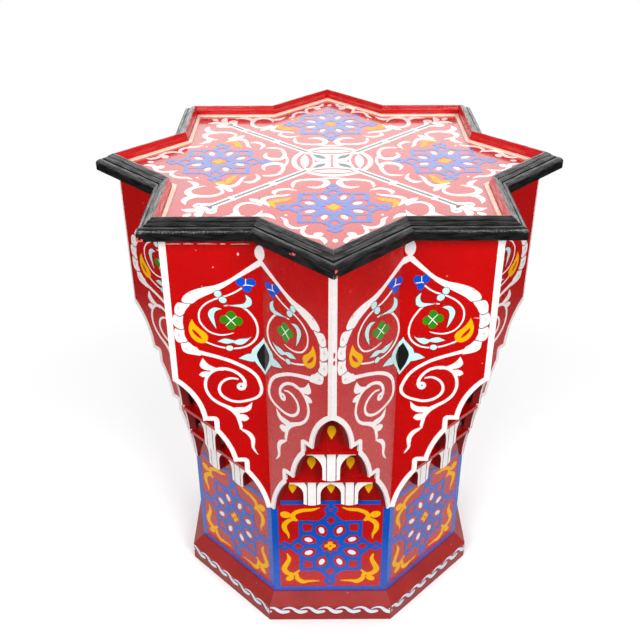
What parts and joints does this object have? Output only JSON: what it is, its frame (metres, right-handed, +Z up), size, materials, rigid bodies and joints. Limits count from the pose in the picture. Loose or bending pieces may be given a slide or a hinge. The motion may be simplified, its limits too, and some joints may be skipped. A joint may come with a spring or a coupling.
{
  "type": "kursi stool",
  "caption": "Painted wooden stool or side table: a star-shaped top in a raised moulding, on an octagonal body whose star points rest on stepped, arched niches.",
  "frame": {"origin": "on the ground under the centre of the octagonal base", "axes": "+Z up; one star point faces -Y, and the others follow every 45 degrees"},
  "size_m": [0.4862, 0.4862, 0.508],
  "materials": {
    "red_paint": "glossy red paint on wood",
    "black_paint": "brushed black paint on a wooden moulding",
    "white_paint": "hand-brushed off-white paint",
    "plinth_paint": "brownish red paint on wood",
    "blue_paint": "hand-brushed blue paint",
    "yellow_paint": "hand-brushed yellow paint",
    "green_paint": "hand-brushed green paint",
    "aqua_paint": "hand-brushed pale aqua paint",
    "bare_wood": "unpainted softwood"
  },
  "bodies": {
    "root": {"carcass_board_1": "red_paint", "carcass_board_2": "red_paint", "carcass_board_3": "red_paint", "carcass_board_4": "red_paint", "carcass_board_5": "red_paint", "carcass_board_6": "red_paint", "carcass_board_7": "red_paint", "carcass_board_8": "red_paint", "glue_blocks": "bare_wood", "plinth_rail_1": "plinth_paint", "plinth_rail_2": "plinth_paint", "plinth_rail_3": "plinth_paint", "plinth_rail_4": "plinth_paint", "plinth_rail_5": "plinth_paint", "plinth_rail_6": "plinth_paint", "plinth_rail_7": "plinth_paint", "plinth_rail_8": "plinth_paint", "point_1_arcades": "white_paint", "point_1_niche_boards": "red_paint", "point_1_rim": "black_paint", "point_1_wall_left": "red_paint", "point_1_wall_right": "red_paint", "point_2_arcades": "white_paint", "point_2_niche_boards": "red_paint", "point_2_rim": "black_paint", "point_2_wall_left": "red_paint", "point_2_wall_right": "red_paint", "point_3_arcades": "white_paint", "point_3_niche_boards": "red_paint", "point_3_rim": "black_paint", "point_3_wall_left": "red_paint", "point_3_wall_right": "red_paint", "point_4_arcades": "white_paint", "point_4_niche_boards": "red_paint", "point_4_rim": "black_paint", "point_4_wall_left": "red_paint", "point_4_wall_right": "red_paint", "point_5_arcades": "white_paint", "point_5_niche_boards": "red_paint", "point_5_rim": "black_paint", "point_5_wall_left": "red_paint", "point_5_wall_right": "red_paint", "point_6_arcades": "white_paint", "point_6_niche_boards": "red_paint", "point_6_rim": "black_paint", "point_6_wall_left": "red_paint", "point_6_wall_right": "red_paint", "point_7_arcades": "white_paint", "point_7_niche_boards": "red_paint", "point_7_rim": "black_paint", "point_7_wall_left": "red_paint", "point_7_wall_right": "red_paint", "point_8_arcades": "white_paint", "point_8_niche_boards": "red_paint", "point_8_rim": "black_paint", "point_8_wall_left": "red_paint", "point_8_wall_right": "red_paint", "top_board": "red_paint"}
  },
  "joints": []
}
